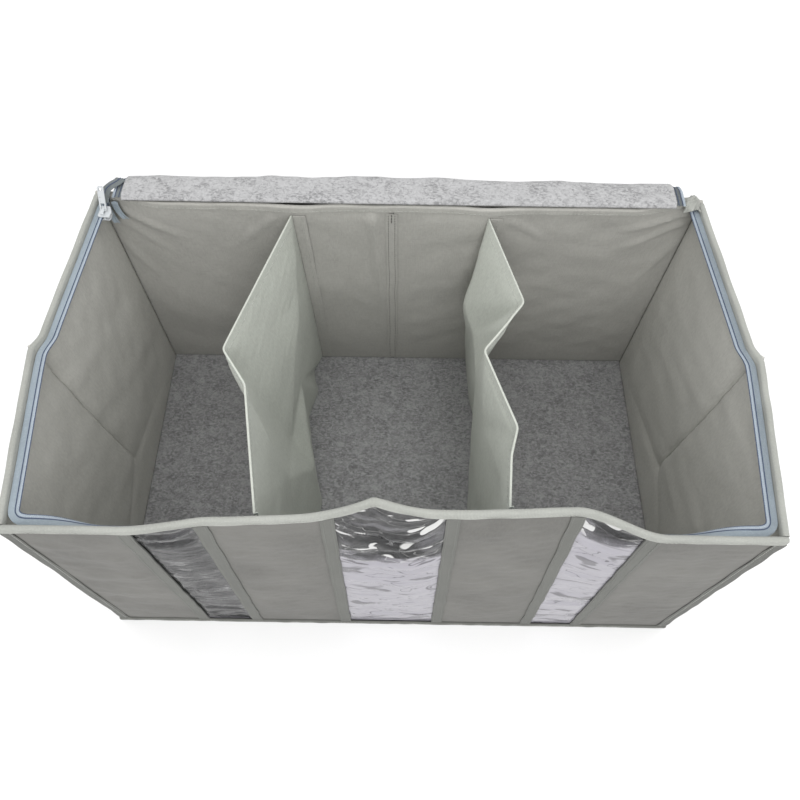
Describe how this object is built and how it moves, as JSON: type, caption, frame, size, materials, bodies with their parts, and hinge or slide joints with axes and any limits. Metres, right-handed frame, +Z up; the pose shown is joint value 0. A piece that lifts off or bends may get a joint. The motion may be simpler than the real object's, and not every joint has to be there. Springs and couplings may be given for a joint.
{
  "type": "three-compartment storage box",
  "caption": "Soft non-woven storage box with a zipped lid thrown back, cloth dividers, clear front windows, bound edges and a strap handle on each short side.",
  "frame": {"origin": "middle of the underside of the base panel", "axes": "+X to the right along the front, +Y towards the rear rim that carries the lid, +Z up"},
  "size_m": [0.6548, 0.3739, 0.3194],
  "materials": {
    "shell_cloth": "non-woven cloth, matt",
    "lining_cloth": "non-woven cloth over board, matt",
    "binding_tape": "woven binding tape, matt",
    "divider_cloth": "non-woven cloth, matt",
    "clear_vinyl": "clear soft vinyl, glossy",
    "floor_felt": "mottled grey felt",
    "lid_felt": "mottled light grey felt",
    "board": "grey-brown board",
    "zip_tape": "woven zip tape with a nylon coil",
    "pale_paint": "pale painted zinc, satin"
  },
  "bodies": {
    "box": {"base_panel": "shell_cloth", "front_strip_1": "shell_cloth", "front_strip_2": "shell_cloth", "front_strip_3": "shell_cloth", "front_strip_4": "shell_cloth", "side_wall_left": "lining_cloth", "side_wall_right": "lining_cloth", "back_panel_left": "lining_cloth", "back_panel_right": "lining_cloth", "back_centre_seam": "lining_cloth", "window_tape_left_a": "binding_tape", "window_tape_left_b": "binding_tape", "window_tape_middle_a": "binding_tape", "window_tape_middle_b": "binding_tape", "window_tape_right_a": "binding_tape", "window_tape_right_b": "binding_tape", "corner_tape_front_left": "binding_tape", "corner_tape_front_right": "binding_tape", "corner_tape_back_left": "binding_tape", "corner_tape_back_right": "binding_tape", "bottom_tape_front": "binding_tape", "bottom_tape_back": "binding_tape", "bottom_tape_left": "binding_tape", "bottom_tape_right": "binding_tape", "rim_tape_front": "binding_tape", "rim_tape_back": "binding_tape", "rim_tape_left": "binding_tape", "rim_tape_right": "binding_tape", "handle_left_end_front": "binding_tape", "handle_left_end_back": "binding_tape", "handle_right_end_front": "binding_tape", "handle_right_end_back": "binding_tape", "divider_left": "divider_cloth", "divider_right": "divider_cloth", "front_window_left": "clear_vinyl", "front_window_middle": "clear_vinyl", "front_window_right": "clear_vinyl", "floor_felt": "floor_felt", "box_zip_chain": "zip_tape"},
    "lid_rear": {"lid_rear_cover": "shell_cloth", "lid_rear_felt": "lid_felt", "lid_rear_zip_left": "zip_tape", "lid_rear_zip_right": "zip_tape"},
    "lid": {"lid_cover": "shell_cloth", "lid_felt": "lid_felt", "lid_board": "board", "lid_zip_chain": "zip_tape"},
    "slider": {"zip_slider": "pale_paint"},
    "pull": {"zip_pull": "pale_paint"},
    "handle_left": {"handle_left": "binding_tape"},
    "handle_right": {"handle_right": "binding_tape"}
  },
  "joints": [
    {"name": "lid_swing", "type": "hinge", "parent": "box", "child": "lid_rear", "pos_m": [0, 0.1615, 0.30335], "axis": [1, 0, 0], "range_deg": [0, 178]},
    {"name": "lid_unbend", "type": "hinge", "parent": "lid_rear", "child": "lid", "pos_m": [0, 0.19156, 0.30215], "axis": [1, 0, 0], "range_deg": [0, 92]},
    {"name": "slider_run", "type": "slide", "parent": "box", "child": "slider", "axis": [-0.0717, -0.9974, 0], "range_m": [0, 0.125]},
    {"name": "pull_swing", "type": "hinge", "parent": "slider", "child": "pull", "pos_m": [-0.28841, 0.14988, 0.29835], "axis": [0.9974, -0.0717, 0], "range_deg": [0, 118]},
    {"name": "handle_left_lift", "type": "hinge", "parent": "box", "child": "handle_left", "pos_m": [-0.3096, 0, 0.262], "axis": [0, 1, 0], "range_deg": [0, 75]},
    {"name": "handle_right_lift", "type": "hinge", "parent": "box", "child": "handle_right", "pos_m": [0.3096, 0, 0.262], "axis": [0, -1, 0], "range_deg": [0, 75]}
  ],
  "couplings": [
    {"joint": "lid_unbend", "follows": "lid_swing", "ratio": 0.51685}
  ]
}
